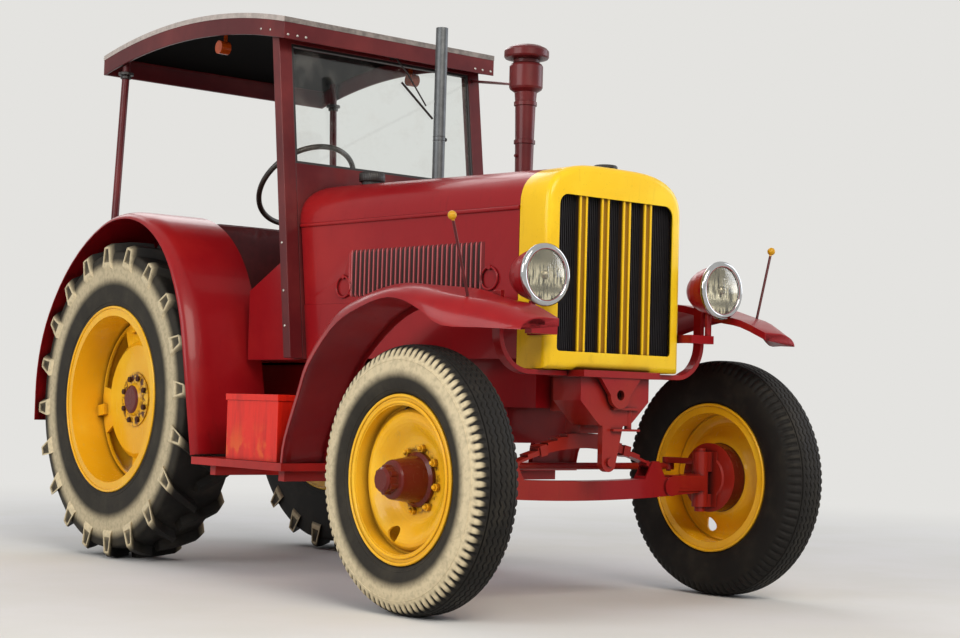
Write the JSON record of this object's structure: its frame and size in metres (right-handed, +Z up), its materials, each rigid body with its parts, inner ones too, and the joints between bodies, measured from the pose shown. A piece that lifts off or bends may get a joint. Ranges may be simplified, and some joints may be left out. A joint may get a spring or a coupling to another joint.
{
  "type": "tractor",
  "caption": "Vintage farm tractor with an open roofed cab, steered front wheels, hinged bonnet sides and a toolbox whose lid opens.",
  "frame": {"origin": "middle of the bounding box on the ground under the tyres", "axes": "+Y to the rear of the tractor, +X to the driver's left, +Z up"},
  "size_m": [1.784, 3.4228, 2.3278],
  "materials": {
    "red_paint": "weathered red enamel, half matt",
    "dark_red_paint": "weathered dark red enamel, half matt",
    "bright_red_paint": "bright red enamel, half matt",
    "yellow_paint": "weathered yellow enamel, half gloss",
    "black_paint": "dull black paint",
    "black_plastic": "worn dark moulded grip",
    "seat_leather": "maroon coated cloth",
    "dull_steel": "zinc-coated pipe, dull and stained",
    "clear_glass": "clear glass",
    "amber_lens": "amber lens",
    "yellow_tip": "painted rod and ball",
    "tyre_rubber": "dusty black rubber"
  },
  "bodies": {
    "chassis": {"front_bolster": "red_paint", "front_axle_beam": "red_paint", "front_spring": "dark_red_paint", "engine_block": "dark_red_paint", "gearbox": "dark_red_paint", "rear_axle": "dark_red_paint", "radiator_shell": "yellow_paint", "radiator_core": "black_paint", "grille_bars": "yellow_paint", "filler_caps": "black_paint", "bonnet_top": "dark_red_paint", "lower_side_panels": "dark_red_paint", "scuttle_panel": "dark_red_paint", "windscreen_frame": "dark_red_paint", "windscreen_glass": "clear_glass", "roof": "dark_red_paint", "roof_posts": "dark_red_paint", "rear_fender_left": "dark_red_paint", "rear_fender_right": "dark_red_paint", "fender_walls": "dark_red_paint", "front_fender_left": "dark_red_paint", "front_fender_right": "dark_red_paint", "fender_stays": "dark_red_paint", "running_boards": "black_paint", "toolbox": "bright_red_paint", "floor_plate": "dark_red_paint", "seat_frame": "dark_red_paint", "seat_pads": "seat_leather", "steering_column": "black_paint", "levers": "black_paint", "exhaust_pipe": "dull_steel", "air_intake": "dark_red_paint", "headlamps": "red_paint", "headlamp_glass": "clear_glass", "width_staffs": "yellow_tip", "indicator_lamps": "amber_lens", "hitch": "dark_red_paint"},
    "steering_wheel": {"steering_wheel": "black_plastic"},
    "knuckle_left": {"knuckle_left": "red_paint"},
    "knuckle_right": {"knuckle_right": "red_paint"},
    "tie_rod": {"tie_rod": "black_paint"},
    "front_wheel_left": {"front_wheel_left": "yellow_paint", "front_tyre_left": "tyre_rubber"},
    "front_wheel_right": {"front_wheel_right": "yellow_paint", "front_tyre_right": "tyre_rubber"},
    "rear_wheel_left": {"rear_wheel_left": "yellow_paint", "rear_tyre_left": "tyre_rubber"},
    "rear_wheel_right": {"rear_wheel_right": "yellow_paint", "rear_tyre_right": "tyre_rubber"},
    "bonnet_side_left": {"bonnet_side_left": "dark_red_paint"},
    "bonnet_side_right": {"bonnet_side_right": "dark_red_paint"},
    "toolbox_lid": {"toolbox_lid": "bright_red_paint"}
  },
  "joints": [
    {"name": "steering", "type": "hinge", "parent": "chassis", "child": "steering_wheel", "pos_m": [0, 0.583, 1.659], "axis": [0, 0.7071, 0.7071], "range_deg": [-540, 540]},
    {"name": "kingpin_left", "type": "hinge", "parent": "chassis", "child": "knuckle_left", "pos_m": [0.62, -1.262, 0.431], "axis": [0, 0, 1], "range_deg": [-30, 30]},
    {"name": "kingpin_right", "type": "hinge", "parent": "chassis", "child": "knuckle_right", "pos_m": [-0.62, -1.262, 0.431], "axis": [0, 0, 1], "range_deg": [-30, 30]},
    {"name": "tie_rod_pin", "type": "hinge", "parent": "knuckle_right", "child": "tie_rod", "pos_m": [-0.62, -1.092, 0.487], "axis": [0, 0, 1], "range_deg": [-30, 30]},
    {"name": "front_roll_left", "type": "hinge", "parent": "knuckle_left", "child": "front_wheel_left", "pos_m": [0.741, -1.262, 0.451], "axis": [1, 0, 0], "continuous": true},
    {"name": "front_roll_right", "type": "hinge", "parent": "knuckle_right", "child": "front_wheel_right", "pos_m": [-0.741, -1.262, 0.451], "axis": [1, 0, 0], "continuous": true},
    {"name": "rear_roll_left", "type": "hinge", "parent": "chassis", "child": "rear_wheel_left", "pos_m": [0.573, 1.008, 0.69], "axis": [1, 0, 0], "continuous": true},
    {"name": "rear_roll_right", "type": "hinge", "parent": "chassis", "child": "rear_wheel_right", "pos_m": [-0.573, 1.008, 0.69], "axis": [1, 0, 0], "continuous": true},
    {"name": "bonnet_hinge_left", "type": "hinge", "parent": "chassis", "child": "bonnet_side_left", "pos_m": [0.327, -1.2707, 1.4017], "axis": [-0.1012, -0.9949, 0], "range_deg": [0, 90]},
    {"name": "bonnet_hinge_right", "type": "hinge", "parent": "chassis", "child": "bonnet_side_right", "pos_m": [-0.327, -1.2707, 1.4017], "axis": [-0.1012, 0.9949, 0], "range_deg": [0, 90]},
    {"name": "toolbox_hinge", "type": "hinge", "parent": "chassis", "child": "toolbox_lid", "pos_m": [-0.511, -0.184, 0.7203], "axis": [0, 1, 0], "range_deg": [0, 75]}
  ],
  "couplings": [
    {"joint": "kingpin_left", "follows": "steering", "ratio": 0.0555},
    {"joint": "kingpin_right", "follows": "steering", "ratio": 0.0555},
    {"joint": "tie_rod_pin", "follows": "steering", "ratio": -0.0555}
  ]
}
